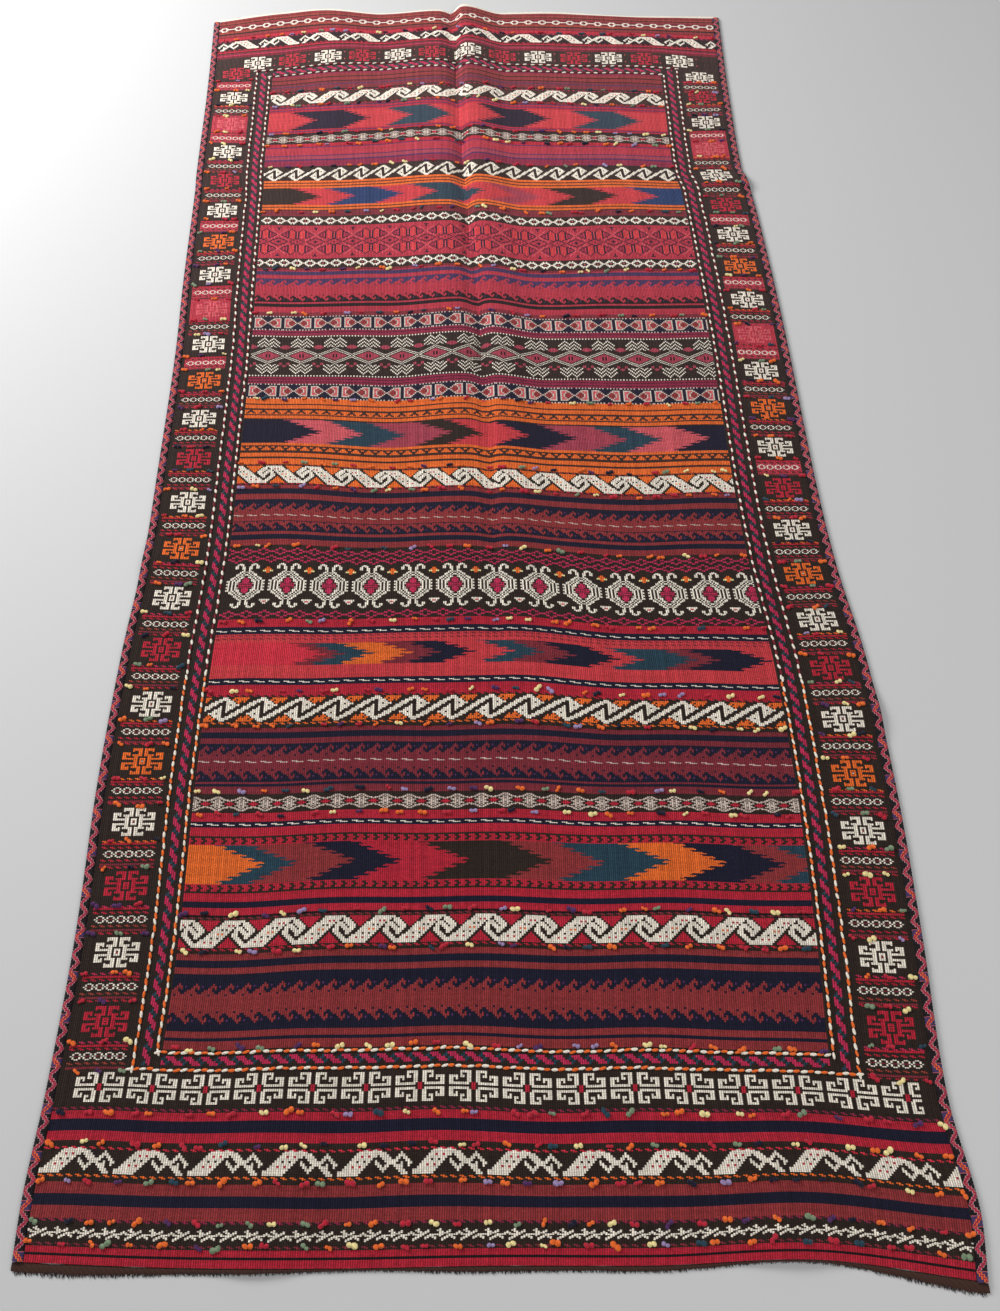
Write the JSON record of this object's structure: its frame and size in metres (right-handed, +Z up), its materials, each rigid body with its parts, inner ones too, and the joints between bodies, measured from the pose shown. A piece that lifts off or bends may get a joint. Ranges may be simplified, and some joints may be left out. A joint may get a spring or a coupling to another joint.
{
  "type": "eating cloth",
  "caption": "Long flat-woven wool eating cloth lying flat, with a low lengthwise crease, thick overcast side edges and short cut-warp fringes at both ends.",
  "frame": {"origin": "on the floor under the middle of the cloth's whole outline, fringes included", "axes": "+X along the weft to the right, +Y along the warp from the near end to the far end, +Z up off the floor"},
  "size_m": [1.272, 2.742, 0.018],
  "materials": {
    "woven_cloth": "weft-faced wool flatweave in red, brown, navy, orange and ivory, matt",
    "selvedge": "dark brown wool overcasting with a magenta cross stitch, matt",
    "far_fringe": "cut ivory wool warps, matt",
    "near_fringe": "dark brown wool web and frayed warps, matt"
  },
  "bodies": {
    "root": {"woven_cloth": "woven_cloth", "selvedge_left": "selvedge", "selvedge_right": "selvedge", "far_end_fringe": "far_fringe", "near_end_fringe": "near_fringe"}
  },
  "joints": []
}
